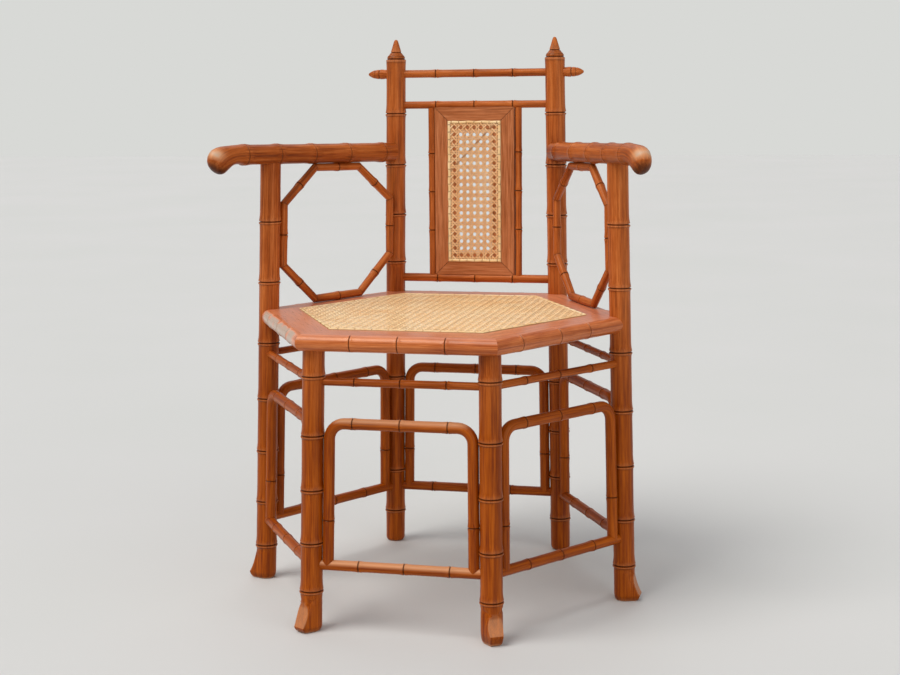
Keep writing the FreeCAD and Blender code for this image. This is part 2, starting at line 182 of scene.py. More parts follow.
def frames_along(centres):
    """Tangents and a steady side direction along a line of points."""
    tangents = np.gradient(centres, axis=0)
    tangents /= norm(tangents, axis=1)[:, None]
    side = unit(np.cross(tangents[0], UP if abs(tangents[0][2]) < 0.9 else vec(0, 1, 0)))
    sides = []
    for t in tangents:
        side = unit(side - t * np.dot(side, t))
        sides.append(side)
    return tangents, sides


def mirrored(half):
    """A joint's whole shape, from the half between its groove and its far end."""
    return tuple((-d, rise, dark) for d, rise, dark in reversed(half[1:])) + half


# carved joints. Along the stick: distance from the groove, swelling, darkness
NODE_LARGE = (
    (-14.0, 0.0, 0.0), (-8.0, 0.12, 0.0), (-5.2, 0.3, 0.0), (-4.5, 0.4, 0.5), (-3.9, 0.9, 0.35),
    (-3.2, 1.55, 0.0), (-2.1, 1.75, 0.0), (-1.2, 1.45, 0.05), (-0.75, 0.2, 0.65), (-0.3, -0.6, 1.0),
    (0.3, -0.6, 1.0), (0.75, 0.3, 0.55), (1.2, 1.2, 0.05), (2.3, 1.4, 0.0), (4.0, 0.95, 0.0),
    (7.5, 0.45, 0.0), (12.0, 0.15, 0.0), (16.0, 0.0, 0.0),
)
NODE_ARM = mirrored((
    (0.0, -0.1, 0.65), (0.6, 0.4, 0.45), (1.3, 1.15, 0.1), (2.4, 1.25, 0.0), (5.0, 0.9, 0.0),
    (9.0, 0.4, 0.0), (15.0, 0.0, 0.0)))
NODE_SMALL = mirrored((
    (0.0, -0.5, 1.0), (0.6, 0.1, 0.9), (1.2, 1.0, 0.15), (2.4, 0.85, 0.0), (5.5, 0.3, 0.0), (11.0, 0.0, 0.0)))
NODE_NOSING = mirrored((
    (0.0, -0.8, 1.0), (0.45, -0.3, 0.9), (0.9, 0.6, 0.2), (1.7, 0.9, 0.0), (3.5, 0.35, 0.0), (7.0, 0.0, 0.0)))
JOINT_CLEAR = 6.5  # plain rings give way this near to a joint


def joint_stations(length, joints, step, shape):
    """Places along a stick, close together at its carved joints, with swelling and darkness."""
    spots = set(np.linspace(0, length, max(2, int(length / step) + 1)).round(3))
    for joint in joints:
        spots = {s for s in spots if abs(s - joint) > JOINT_CLEAR or s in (0.0, round(length, 3))}
        spots |= {round(joint + d, 3) for d, _, _ in shape if 0 < joint + d < length}
    spots = np.array(sorted(spots))
    reach, rises, darks = zip(*shape)
    swell, dark = np.zeros(len(spots)), np.zeros(len(spots))
    for joint in joints:
        swell += np.interp(spots - joint, reach, rises, 0, 0)
        dark = np.maximum(dark, np.interp(spots - joint, reach, darks, 0, 0))
    return spots, swell, dark


def tube(shell, centres, radii, dark, lengths, sides, close=True, cuts=None, rough=0.012):
    """Round stick along a line of points. Cuts give some rings a plane (point, normal) to lie in."""
    centres = np.array(centres, float)
    angles = np.linspace(0, 2 * pi, sides, endpoint=False)
    rings = []
    for i, (centre, tangent, side) in enumerate(zip(centres, *frames_along(centres))):
        other = np.cross(tangent, side)
        points, grain = [], []
        for a in angles:
            way = side * cos(a) + other * sin(a)
            uneven = 1 + rough * wobble((centre + way * radii[i]) + shell.shift, 0.045)
            points.append(centre + way * radii[i] * uneven)
            grain.append((cos(a) * radii[i], sin(a) * radii[i], lengths[i]))
        if cuts and i in cuts:
            at, normal = cuts[i]
            points = [p + tangent * (np.dot(at - p, normal) / np.dot(tangent, normal)) for p in points]
        rings.append(shell.ring(points, grain, dark[i]))
    shell.loft(rings, sides, shell.hub if close else None)
    return rings


ROD_SIDES, ROD_STEP, ROD_SWELL = 28, 7.0, 0.8
SEAM, MITRE_TRIM = 0.9, 4.5  # width of the dark seam, and the length kept free for it
SEAM_DARK, BESIDE_SEAM = 0.95, 0.15


def stick(shell, start, end, radius, joints, mitres=None, offset=0.0, bulge=0.0):
    """Straight stick with its joints given from its start. Mitres are the planes of its two ends."""
    length = norm(end - start)
    way = (end - start) / length
    spots, rise, dark = joint_stations(length, joints, ROD_STEP, NODE_SMALL)
    planes = None
    if mitres:
        inside = (spots > MITRE_TRIM) & (spots < length - MITRE_TRIM)
        spots = np.concatenate(([0.0, SEAM], spots[inside], [length - SEAM, length]))
        rise = np.concatenate(([0.0, 0.0], rise[inside], [0.0, 0.0]))
        dark = np.concatenate(([SEAM_DARK, BESIDE_SEAM], dark[inside], [BESIDE_SEAM, SEAM_DARK]))
        last = len(spots) - 1
        (first, tilt), (second, far_tilt) = mitres
        planes = {0: (first, tilt), 1: (first + way * SEAM, tilt),
                  last - 1: (second - way * SEAM, far_tilt), last: (second, far_tilt)}
    centres = [start + way * s for s in spots]
    radii = radius + ROD_SWELL * rise + bulge * np.sin(np.pi * spots / length)
    tube(shell, centres, radii, dark, spots + offset, ROD_SIDES, cuts=planes)


def rounded(corners, bend, pieces):
    """Line of points with its inner corners turned into arcs."""
    route = [corners[0]]
    for before, corner, after in zip(corners[:-2], corners[1:-1], corners[2:]):
        back, ahead = unit(before - corner), unit(after - corner)
        turn = pi - acos(np.clip(np.dot(back, ahead), -1, 1))
        centre = corner + unit(back + ahead) * (bend / cos(turn / 2))
        start = corner + back * (bend * tan(turn / 2)) - centre
        finish = corner + ahead * (bend * tan(turn / 2)) - centre
        for k in range(pieces + 1):
            share = k / pieces
            swing = (start * sin((1 - share) * turn) + finish * sin(share * turn)) / sin(turn)
            route.append(centre + swing)
    route.append(corners[-1])
    return route


def walk(route, spots):
    """Points at given distances along a line of points, and the line's length."""
    route = np.array(route)
    steps = norm(np.diff(route, axis=0), axis=1)
    total = np.concatenate(([0], np.cumsum(steps)))
    return np.array([[np.interp(s, total, route[:, k]) for k in range(3)] for s in spots]), total[-1]


def mitre_ways(corners):
    """At each corner of a flat outline, the way in that goes one unit away from both its sides."""
    ways = []
    for before, corner, after in zip(corners[-1:] + corners[:-1], corners, corners[1:] + corners[:1]):
        e, f = unit(corner - before), unit(after - corner)
        ways.append((turned(e) + turned(f)) / (1 + np.dot(e, f)))
    return ways


# ---------- materials
def srgb(r, g, b):
    def line(c):
        c /= 255.0
        return c / 12.92 if c <= 0.04045 else ((c + 0.055) / 1.055) ** 2.4
    return (line(r), line(g), line(b), 1.0)


class Graph:
    """The nodes of one material or world."""

    def __init__(self, owner):
        owner.use_nodes = True
        self.owner = owner
        self.tree = owner.node_tree

    def feed(self, socket, value):
        if isinstance(value, bpy.types.NodeSocket):
            self.tree.links.new(value, socket)
        else:
            socket.default_value = value

    def node(self, kind, inputs=(), **settings):
        """New node, whose inputs are given values or links."""
        made = self.tree.nodes.new(kind)
        for key, value in settings.items():
            setattr(made, key, value)
        for key, value in dict(inputs).items():
            self.feed(made.inputs[key], value)
        return made

    def paint(self, inputs):
        shader = self.tree.nodes["Principled BSDF"]
        for key, value in inputs.items():
            self.feed(shader.inputs[key], value)

    def attribute(self, name, output="Fac"):
        return self.node("ShaderNodeAttribute", attribute_name=name).outputs[output]

    def place(self):
        return self.node("ShaderNodeTexCoord").outputs["Object"]

    def noise(self, source, scale, detail=2.0, rough=0.5, distortion=0.0):
        return self.node("ShaderNodeTexNoise", {
            "Vector": source, "Scale": scale, "Detail": detail, "Roughness": rough,
            "Distortion": distortion}).outputs["Fac"]

    def streaks(self, grain, scale, detail=2.0, rough=0.5, distortion=0.0):
        """Noise drawn out along the grain."""
        mapping = self.node("ShaderNodeMapping", {"Vector": grain, "Scale": scale})
        return self.noise(mapping.outputs["Vector"], 1.0, detail, rough, distortion)

    def ramp(self, source, stops):
        made = self.node("ShaderNodeValToRGB", {"Fac": source})
        ramp = made.color_ramp
        while len(ramp.elements) < len(stops):
            ramp.elements.new(0.5)
        for element, (at, colour) in zip(ramp.elements, stops):
            element.position = at
            element.color = colour
        return made.outputs["Color"]

    def range(self, source, low, high, new_low, new_high):
        return self.node("ShaderNodeMapRange", {
            "Value": source, "From Min": low, "From Max": high, "To Min": new_low,
            "To Max": new_high}).outputs["Result"]

    def mix(self, factor, a, b):
        return self.node("ShaderNodeMix", {0: factor, 6: a, 7: b}, data_type="RGBA").outputs[2]

    def tint(self, colour, other, source, low, high, most=1.0):
        """The other colour comes in as the source goes from low to high."""
        return self.mix(self.range(source, low, high, 0.0, most), colour, other)

    def math(self, operation, a, b):
        return self.node("ShaderNodeMath", {0: a, 1: b}, operation=operation).outputs[0]

    def blend(self, a, share, b):
        return self.math("ADD", self.math("MULTIPLY", a, share), self.math("MULTIPLY", b, 1.0 - share))

    def bump(self, height, strength, distance, **more):
        return self.node("ShaderNodeBump", {
            "Height": height, "Strength": strength, "Distance": distance, **more}).outputs["Normal"]


# pale worn colour: real wear on joint lips and knuckles, and also painted sheen and highlight
WEAR_AND_SHEEN, BARE = srgb(234, 176, 130), srgb(190, 168, 148)
DEEP_BROWN, GROOVE = srgb(52, 18, 6), srgb(42, 12, 3)
STAIN, CANE_SHADE = srgb(150, 92, 44), srgb(112, 62, 26)


def wood_material(name, deep, mid, light, polish, shaded_lower=None, streak=1.0, wave=0.5, worn=WEAR_AND_SHEEN, gloss=0.22,
                  coat=0.05):
    """Varnished hardwood: streaks along the grain, cloudy tone, dark carved joints and worn lips.

    The pair of lower colours is what the wood turns to below the seat: painted shade, deeper and more
    saturated where less sky sheen falls."""
    g = Graph(bpy.data.materials.new(name))
    grain, place = g.attribute("grain", "Vector"), g.place()
    fine = g.streaks(grain, (1000, 1000, 22), 3.0, 0.65)
    broad = g.streaks(grain, (190, 190, 6), 3.0, 0.55, wave)
    pores = g.streaks(grain, (2600, 2600, 70), 2.0, 0.6)
    cloud = g.noise(place, 8.0, 3.0, 0.55)
    blend = g.blend(fine, 0.45, broad)
    spread = 0.13 / streak
    colour = g.ramp(blend, ((0.5 - spread, deep), (0.5, mid), (0.5 + spread, light)))
    colour = g.tint(colour, light, cloud, 0.38, 0.68, 0.45)
    colour = g.tint(colour, deep, cloud, 0.45, 0.3, 0.35)
    colour = g.tint(colour, deep, pores, 0.58, 0.70, 0.5)
    # painted shade: below the seat the wood turns deeper and more saturated
    if shaded_lower:
        height = g.node("ShaderNodeSeparateXYZ", {0: place}).outputs["Z"]
        colour = g.tint(colour, g.tint(*shaded_lower, blend, 0.38, 0.62), height, 0.47, 0.3, 0.9)
    tone = g.attribute("tone")
    # tone above 0 pales the wood: real wear on lips, knuckles and nosings, painted sheen on seat tops and toe
    # tips, and painted highlight on the front stretcher and arch tops
    colour = g.tint(colour, worn, tone, 0.0, 1.0)
    colour = g.tint(colour, BARE, tone, 0.5, 0.9, 0.9)
    # tone below 0 turns the wood deep brown: painted shade on the arms' undersides, and darker patches on the
    # knuckles and crowns
    colour = g.tint(colour, DEEP_BROWN, tone, 0.0, -1.0)
    colour = g.mix(g.math("MULTIPLY", g.attribute("dark"), 0.8), colour, GROOVE)
    normal = g.bump(fine, 0.3, 0.0004)
    g.paint({
        "Base Color": colour, "Roughness": g.range(fine, 0.3, 0.7, polish - 0.06, polish + 0.1),
        "Specular IOR Level": gloss, "Specular Tint": (1.0, 0.72, 0.5, 1.0),
        "Coat Weight": coat, "Coat Roughness": 0.18,
        "Normal": g.bump(g.noise(place, 60.0), 0.15, 0.0014, Normal=normal)})
    return g.owner


def cane_material(name, shade, mid, light):
    """Split cane: fine fibres along each strand, with paler and browner stretches."""
    g = Graph(bpy.data.materials.new(name))
    grain = g.attribute("grain", "Vector")
    fibre = g.streaks(grain, (2600, 2600, 45), 2.0, 0.6)
    stretch = g.streaks(grain, (60, 60, 22))
    colour = g.ramp(g.blend(fibre, 0.4, stretch), ((0.32, shade), (0.50, mid), (0.70, light)))
    colour = g.tint(colour, shade, g.noise(g.place(), 14.0), 0.4, 0.7, 0.15)
    colour = g.tint(colour, STAIN, g.attribute("tone"), 0.0, 1.0)
    colour = g.mix(g.math("MULTIPLY", g.attribute("dark"), 0.9), colour, CANE_SHADE)
    g.paint({
        "Base Color": colour, "Roughness": g.range(fibre, 0.3, 0.7, 0.38, 0.55),
        "Coat Weight": 0.1, "Coat Roughness": 0.3, "Normal": g.bump(fibre, 0.4, 0.0002)})
    return g.owner


# the last pair of colours is the painted shade below the seat
wood = wood_material(
    "varnished_wood", srgb(108, 42, 9), srgb(168, 79, 23), srgb(204, 115, 55), 0.36,
    (srgb(116, 40, 0), srgb(176, 84, 0)))
# the boards' worn colour also paints the sheen on the seat's flat top
board_wood = wood_material(
    "seat_board_wood", srgb(140, 56, 18), srgb(186, 92, 36), srgb(218, 128, 70), 0.3,
    worn=srgb(255, 176, 142), gloss=0.45, coat=0.25)
panel_wood = wood_material(
    "panel_wood", srgb(126, 64, 32), srgb(176, 99, 54), srgb(204, 130, 86), 0.44, streak=1.15, wave=1.9)
cane = cane_material("woven_cane", srgb(250, 192, 126), srgb(255, 214, 156), srgb(255, 234, 192))
back_fibre = cane_material("back_cane_fibre", srgb(224, 150, 88), srgb(252, 194, 134), srgb(255, 226, 180))
binder_cane = cane_material("binder_cane", srgb(236, 186, 118), srgb(255, 222, 164), srgb(255, 240, 204))


# ---------- posts
POST_R, SIDES = 16.45, 48
FLAT, RUN = 8, 7  # points on the toe's flat tip, and on each of its cheeks
BACK = SIDES - FLAT - 2 * RUN  # points round the rest of the post
EDGE_ANGLE, TOUCH_ANGLE = 0.75, 1.25
REAR_LIMIT = 281.6  # keeps the crowns inside the solids' box


def arc(touch):
    return [touch + (2 * pi - 2 * touch) * k / (BACK - 1) for k in range(BACK)]


def toe_section(radius, reach, half):
    """Round section, X outward, with a flat toe tip at a reach, as wide as twice half."""
    distance = hypot(reach, half)
    touch = atan2(half, reach) + (acos(radius / distance) if distance > radius else 0.0)
    x, y = radius * cos(touch), radius * sin(touch)
    shares = [k / (RUN + 1) for k in range(1, RUN + 1)]
    cheek = [(reach + (x - reach) * share, half + (y - half) * share) for share in shares]
    tip = [(reach, -half + 2 * half * k / (FLAT - 1)) for k in range(FLAT)]
    rest = [(radius * cos(a), radius * sin(a)) for a in arc(touch)]
    return tip + cheek + rest + [(x, -y) for x, y in reversed(cheek)]


def plain_section(radius):
    """The same order of points spread over a plain circle."""
    cheek = [EDGE_ANGLE + (TOUCH_ANGLE - EDGE_ANGLE) * k / (RUN + 1) for k in range(1, RUN + 1)]
    tip = list(np.linspace(-EDGE_ANGLE, EDGE_ANGLE, FLAT))
    angles = tip + cheek + arc(TOUCH_ANGLE) + [-a for a in reversed(cheek)]
    return [(radius * cos(a), radius * sin(a)) for a in angles]


def blend_sections(a, b, share):
    return [(p[0] + (q[0] - p[0]) * share, p[1] + (q[1] - p[1]) * share) for p, q in zip(a, b)]


TOE_TOP, TOE_LIP = 44.0, 9.3
TOE = (
    # height, reach, half width, body radius, darkness
    (0.0, 17.0, 7.0, 12.0, 0.2),
    (0.9, 19.4, 8.0, 13.8, 0.1),
    (3.0, 22.0, 8.9, 15.2, 0.3),
    (6.5, 24.2, 9.5, 16.0, 0.3),
    (TOE_LIP, 25.3, 9.8, 16.3, 0.05),
    (10.2, 25.1, 9.9, 16.35, 0.0),
    (13.0, 23.4, 10.3, 16.4, 0.0),
    (18.0, 21.0, 10.9, 16.4, 0.0),
    (24.0, 18.8, 11.1, 16.4, 0.0),
    (30.0, 17.2, 10.6, 16.4, 0.0),
    (36.0, 16.1, 9.2, 16.4, 0.0),
    (40.0, 15.8, 7.4, 16.4, 0.0),
    (43.0, 16.0, 4.0, 16.4, 0.0),
)
# painted sheen on the flat toe tip above its lip
TIP_SHEEN, TIP_SHEEN_HIGH, TIP_SHEEN_HIGH_FROM = 0.3, 0.12, 38.0  # tone of the tip, its upper end and where that starts
SOLE = ((3.2, 0.1), (2.0, 0.5))        # tone of the toe below a height
PLAIN_FROM = {True: 51.5, False: 46.0}  # height where a post is plain, with and without a toe
TOE_FADE = ((0.4, 47.0), (0.8, 50.0))  # share of the plain post, height
# height of the lip on each toe; a post without one has a plain foot
LIPS = {"front_leg_left": 8.6, "front_leg_right": 15.5, "arm_post_right": 9.0, "arm_post_left": 10.0}
FOOT = (
    # height, radius, darkness, tone
    (0.0, 12.4, 0.4, 0.25), (1.2, 14.2, 0.2, 0.25), (3.2, 15.6, 0.05, 0.0), (6.5, 16.3, 0.0, 0.0),
    (20.0, POST_R, 0.0, 0.0), (38.0, POST_R, 0.0, 0.0),
)
CROWN = (
    # height, radius, darkness, tone
    (830.0, 16.5, 0.0, 0.0), (834.5, 16.6, 0.0, 0.0), (837.2, 16.7, 0.3, 0.0),
    (838.1, 16.6, 0.5, 0.0), (838.9, 16.9, 0.1, 0.12), (840.2, 17.0, 0.0, 0.2),
    (841.5, 16.8, 0.0, 0.12), (842.4, 15.7, 0.6, -0.28), (843.3, 14.6, 1.0, -0.28),
    (844.1, 14.7, 0.8, -0.28), (844.9, 15.3, 0.1, -0.18), (846.4, 15.0, 0.0, -0.22),
    (847.4, 14.4, 0.35, -0.28), (848.0, 14.1, 0.55, -0.28), (848.6, 13.8, 0.1, -0.28),
    (849.6, 12.6, 0.0, -0.28), (851.2, 11.2, 0.0, -0.28), (853.0, 10.0, 0.0, -0.23),
    (853.7, 9.3, 0.4, -0.28), (854.4, 8.3, 1.0, -0.28), (854.9, 8.5, 0.7, 0.0),
    (855.4, 8.9, 0.0, 0.12), (856.6, 8.6, 0.0, 0.12), (860.0, 7.5, 0.0, 0.06),
    (864.0, 6.3, 0.0, 0.04), (868.0, 5.1, 0.0, 0.0), (872.0, 3.9, 0.0, 0.0),
    (874.4, 2.9, 0.0, 0.0), (875.5, 1.8, 0.0, 0.0), (875.95, 0.5, 0.0, 0.0),
)
POST_KINDS = (
    # kind, top, heights of the carved joints, seed
    ("back_post_", 826.0, (56, 129, 209, 295, 398, 497, 579, 664, 751), 11),
    ("arm_post_", 686.0, (56, 129, 213, 299, 390, 489, 586), 21),
    ("front_leg_", 424.0, (61, 133, 212, 293, 381), 31),
)


def post(name, top, joints, seed):
    shell = Shell(seed)
    out = heading(POSTS[name][0])
    side = vec(-out[1], out[0], 0)
    lip = LIPS.get(name)
    rings = []

    def lay(z, outline, d, tone):
        centre = axis_point(name, z)
        points, grain = [], []
        for x, y in outline:
            p = centre + out * x + side * y
            uneven = 0.20 * wobble(p + shell.shift, 0.03) + 0.12 * wobble(p + shell.shift, 0.09)
            p = p + (out * x + side * y) / max(1.0, hypot(x, y)) * uneven
            p[1] = min(p[1], REAR_LIMIT)
            points.append(p)
            grain.append((x, y, z))
        rings.append(shell.ring(points, grain, d, tone))

    if lip:
        for z, reach, half, r, d in TOE:
            # the toe is stretched or pressed so that its lip comes to the right height
            if z <= TOE_LIP:
                z = z * lip / TOE_LIP
            else:
                z = TOE_TOP - (TOE_TOP - z) * (TOE_TOP - lip) / (TOE_TOP - TOE_LIP)
            # the flat tip above the lip takes a painted sheen
            tip = (TIP_SHEEN if z < TIP_SHEEN_HIGH_FROM else TIP_SHEEN_HIGH) if z > lip else 0.0
            tone = [tip] * FLAT + [0.0] * (SIDES - FLAT)
            for below, rubbed in SOLE:
                tone = rubbed if z < below else tone
            lay(z, toe_section(r, reach, half), d, tone)
        for share, z in TOE_FADE:
            lay(z, blend_sections(toe_section(16.4, 16.25, 3.0), plain_section(POST_R), share), 0.0, 0.0)
    else:
        for z, r, d, tone in FOOT:
            lay(z, plain_section(r), d, tone)
    spots, rise, dark = joint_stations(top, joints, 11.0, NODE_LARGE)
    for z, r, d in zip(spots, POST_R + rise, dark):
        if z < PLAIN_FROM[bool(lip)]:
            continue
        # the varnish is worn on both lips of a joint
        past = z - min(joints, key=lambda n: abs(n - z))
        tone = 0.2 * max(0.0, 1 - abs(past + 2.3) / 1.3) + 0.1 * max(0.0, 1 - abs(past - 2.6) / 2.2)
        lay(z, plain_section(r), d, tone)
    for z, r, d, tone in () if lip else CROWN:
        lay(z, plain_section(r), d, tone)
    shell.loft(rings, SIDES, shell.hub)
    shell.build(name, wood)


for index, side in enumerate(SIDE_NAMES):
    for kind, top, joints, seed in POST_KINDS:
        post(kind + side, top, joints, seed + index)

# ---------- stretchers, rails and arches
seeds = itertools.count(41)
BURIED = 13.0  # from a post's axis to the hidden ends of the sticks and arms that it holds
LOW_STRETCHER = 99.5
STRETCHERS = (("upper_stretcher_", 372.5, 5.9), ("low_stretcher_", LOW_STRETCHER, 7.9))
STRETCHER_JOINTS = (-69.5, 0.0, 69.5)
JOINT_SHIFTS = {"low_stretcher_front": 6.5, "low_stretcher_back": 8.5}


def rod_between(first, second, height, radius, joints, shift=0.0):
    """Stick from post to post, with joints given from its middle."""
    shell = Shell(next(seeds))
    start, end = axis_point(first, height), axis_point(second, height)
    way = unit(end - start)
    start, end = start + way * BURIED, end - way * BURIED
    middle = norm(end - start) / 2 + shift
    stick(shell, start, end, radius, [middle + j for j in joints])
    return shell


for bay, first, second in BAYS:
    for kind, height, r in STRETCHERS:
        name = kind + bay
        shell = rod_between(first, second, height, r, STRETCHER_JOINTS, JOINT_SHIFTS.get(name, 0.0))
        # the front stretcher's upper side gets a painted highlight, with some wear
        if name == "low_stretcher_front":
            shell.lighten_top_highlight_and_wear(height, r, 0.5, 1.6)
        shell.build(name, wood)

ARCH_R, ARCH_SIDES, ARCH_BEND, ARCH_SWELL = 8.35, 32, 23.0, 0.7
ARCH_FOOT, ARCH_BAR = 103.0, 311.0  # heights of the line's ends and of its level bar
ARCH_LEG_JOINT, ARCH_BAR_JOINT = 167.0 - ARCH_FOOT, 72
SADDLE_R = 8.2  # radius of the hollow that sits on the low stretcher
for bay, first, second in BAYS:
    shell = Shell(next(seeds))
    along = unit(axis_point(second, SEAT) - axis_point(first, SEAT))
    beside = along * (POST_SOLID + ARCH_SOLID + GAP)
    route = rounded([
        axis_point(first, ARCH_FOOT) + beside, axis_point(first, ARCH_BAR) + beside,
        axis_point(second, ARCH_BAR) - beside, axis_point(second, ARCH_FOOT) - beside], ARCH_BEND, 12)
    total = walk(route, [0])[1]
    middle = total / 2
    joints = (ARCH_LEG_JOINT, middle - ARCH_BAR_JOINT, middle,
              middle + ARCH_BAR_JOINT, total - ARCH_LEG_JOINT)
    spots, rise, dark = joint_stations(total, joints, 5.0, NODE_SMALL)
    centres = walk(route, spots)[0]
    rings = tube(shell, centres, ARCH_R + ARCH_SWELL * rise, dark, spots, ARCH_SIDES, close=False)
    a = axis_point(first, LOW_STRETCHER)
    line = unit(axis_point(second, LOW_STRETCHER) - a)
    for ring in (rings[0], rings[-1]):
        for k in range(ring, ring + ARCH_SIDES):
            p = np.array(shell.points[k])
            along_line = np.dot(p - a, line)
            sideways = np.dot((p - a) - line * along_line, np.cross(line, UP))
            height = sqrt(max(0.0, SADDLE_R ** 2 - sideways ** 2))
            shell.points[k] = (p[0], p[1], a[2] + along_line * line[2] + height)
    shell.hub(rings[0], ARCH_SIDES, True)
    shell.hub(rings[-1], ARCH_SIDES, False)
    # the front arch's upper side gets a painted highlight, with some wear
    if bay == "front":
        shell.lighten_top_highlight_and_wear(ARCH_BAR, ARCH_R, 0.45, 1.4)
    shell.build("arch_" + bay, wood)

TOP_RAIL, UPPER_RAIL, LOWER_RAIL = 817.8, 765.0, 469.0
for name, height, r, joint in (
        ("back_top_rail", TOP_RAIL, 6.6, 67), ("back_upper_rail", UPPER_RAIL, 6.3, 67),
        ("back_lower_rail", LOWER_RAIL, 7.1, 66)):
    rod_between("back_post_left", "back_post_right", height, r, (-joint, 0, joint)).build(name, wood)

TIP = (
    # distance from the post's axis, radius, darkness
    (13.0, 7.5, 0.0), (16.0, 7.6, 0.0), (20.0, 7.9, 0.0), (24.0, 8.3, 0.0), (27.3, 8.3, 0.0),
    (27.8, 7.6, 0.7), (28.3, 7.3, 1.0), (28.8, 7.5, 0.6), (30.0, 8.0, 0.0), (33.0, 7.7, 0.0),
    (35.4, 7.4, 0.0), (35.8, 7.0, 0.6), (36.1, 6.9, 0.8), (36.6, 7.0, 0.2), (38.0, 7.0, 0.0),
    (41.0, 6.1, 0.0), (44.0, 4.7, 0.0), (46.5, 3.2, 0.0), (48.2, 1.9, 0.0), (48.9, 0.6, 0.0),
)
shell = Shell(next(seeds))
reaches, radii, darks = zip(*TIP)
for post_name in ("back_post_left", "back_post_right"):
    axis = axis_point(post_name, TOP_RAIL)
    way = RIGHT * copysign(1, axis[0])
    tube(shell, [axis + way * s for s in reaches], radii, darks, reaches, ROD_SIDES, rough=0.0)
shell.build("back_rail_tips", wood)


# ---------- caned back panel
def back_middle(height):
    return (axis_point("back_post_left", height) + axis_point("back_post_right", height)) * 0.5


PANEL_O = back_middle(LOWER_RAIL)
PANEL_UP = unit(back_middle(UPPER_RAIL) - PANEL_O)
PANEL_REAR = np.cross(PANEL_UP, RIGHT)
PANEL_H = norm(back_middle(UPPER_RAIL) - PANEL_O)
HALF_W, MEMBER, HALF_THICK = 69.7, 39.0, 5.5
LOWER_SOLID, UPPER_SOLID = 7.4, 6.6  # radii of the two rails that hold the panel


def on_panel(x, z, rear=0.0):
    return PANEL_O + RIGHT * x + PANEL_UP * z + PANEL_REAR * rear


panel_low = sqrt((LOWER_SOLID + PANEL_GAP) ** 2 - HALF_THICK ** 2)
panel_high = PANEL_H - sqrt((UPPER_SOLID + PANEL_GAP) ** 2 - HALF_THICK ** 2)
EDGE, EDGE_MIDDLE, FACE_STRIP = 0.7, 0.25, 1.2   # eased edge, its middle, and the strip beside it
SLAB_RINGS = (
    # inward, towards the rear, darkness
    (EDGE, -HALF_THICK, 0.18), (EDGE_MIDDLE, EDGE_MIDDLE - HALF_THICK, 0.3), (0.0, EDGE - HALF_THICK, 0.5),
    (0.0, HALF_THICK - EDGE, 0.5), (EDGE_MIDDLE, HALF_THICK - EDGE_MIDDLE, 0.3), (EDGE, HALF_THICK, 0.18),
)
SLAB_PIECES = 6  # points on each side of a member
STILE_GAP, STILE_R, STILE_JOINTS = 6.0 + PANEL_GAP, 5.7, (552.5, 618.3, 683.5)


def slab(name, outline, grain_up, seed):
    """Flat member with fine eased edges; outline is (x, z) round its front face."""
    shell = Shell(seed)
    outline = [np.array(p, float) for p in outline]
    if sum(a[0] * b[1] - b[0] * a[1] for a, b in zip(outline, outline[1:] + outline[:1])) < 0:
        outline = outline[::-1]
    ways = mitre_ways(outline)
    n = len(outline) * SLAB_PIECES

    def lay(inward, rear, dark):
        line = [corner + way * inward for corner, way in zip(outline, ways)]
        dense = [a + (b - a) * k / SLAB_PIECES
                 for a, b in zip(line, line[1:] + line[:1]) for k in range(SLAB_PIECES)]
        grain = [(p[0], rear, p[1]) if grain_up else (p[1], rear, p[0]) for p in dense]
        return shell.ring([on_panel(p[0], p[1], rear) for p in dense], grain, dark)

    rings = [lay(*row) for row in SLAB_RINGS]
    shell.loft(rings[::-1], n)
    front = lay(EDGE + FACE_STRIP, -HALF_THICK, 0.0)
    shell.bridge(rings[0], front, n)
    shell.lid(front, n, False)
    back = lay(EDGE + FACE_STRIP, HALF_THICK, 0.0)
    shell.bridge(back, rings[-1], n)
    shell.lid(back, n, True)
    shell.build(name, panel_wood, smooth=30)


low_in, high_in, half_in = panel_low + MEMBER, panel_high - MEMBER, HALF_W - MEMBER
for name, outer, inner, seed in (("top", panel_high, high_in, 71), ("bottom", panel_low, low_in, 72)):
    outline = [(-HALF_W, outer), (HALF_W, outer), (half_in, inner), (-half_in, inner)]
    slab("panel_" + name, outline, False, seed)
for side, sign, seed in (("left", -1, 72), ("right", 1, 74)):
    slab("panel_" + side, [
        (sign * HALF_W, panel_low), (sign * HALF_W, panel_high),
        (sign * half_in, high_in), (sign * half_in, low_in)], True, seed)
    shell = Shell(next(seeds))
    x = sign * (HALF_W + STILE_GAP)
    start, end = on_panel(x, 5.5), on_panel(x, PANEL_H - 5.0)
    scale = norm(end - start) / (end[2] - start[2])
    stick(shell, start, end, STILE_R, [(z + 1.2 * sign - start[2]) * scale for z in STILE_JOINTS])
    shell.build("back_stile_" + side, wood)

# ---------- six-way cane weave
# across the strand as a share of its width, out of its face as a share of its thickness
STRAND = ((-0.5, -0.1), (-0.25, 0.42), (0.25, 0.42), (0.5, -0.1), (0.0, -0.5))
STRAND_THICK, STRAND_LIFT = 0.62, 0.5
PAIR_WAVE, DIAGONAL_WAVE = 0.22, 0.62  # how far the strands rise and fall
SHORTEST = 3.0


def ribbon(shell, line, across_way, face_way, width, thick, tone, offset, edge=0.45):
    """Flat strand with a crowned face along a line of points."""
    rings = []
    run = 0.0
    last = line[0]
    for p in line:
        run += norm(p - last)
        last = p
        # painted shade along the strand's edges (edge) and on its underside
        rings.append(shell.ring(
            [p + across_way * (u * width) + face_way * (h * thick) for u, h in STRAND],
            [(u * width, offset + (0 if u else 3), run) for u, _ in STRAND],
            (edge, 0.0, 0.0, edge, 0.3), tone))
    shell.loft(rings, len(STRAND), shell.lid)


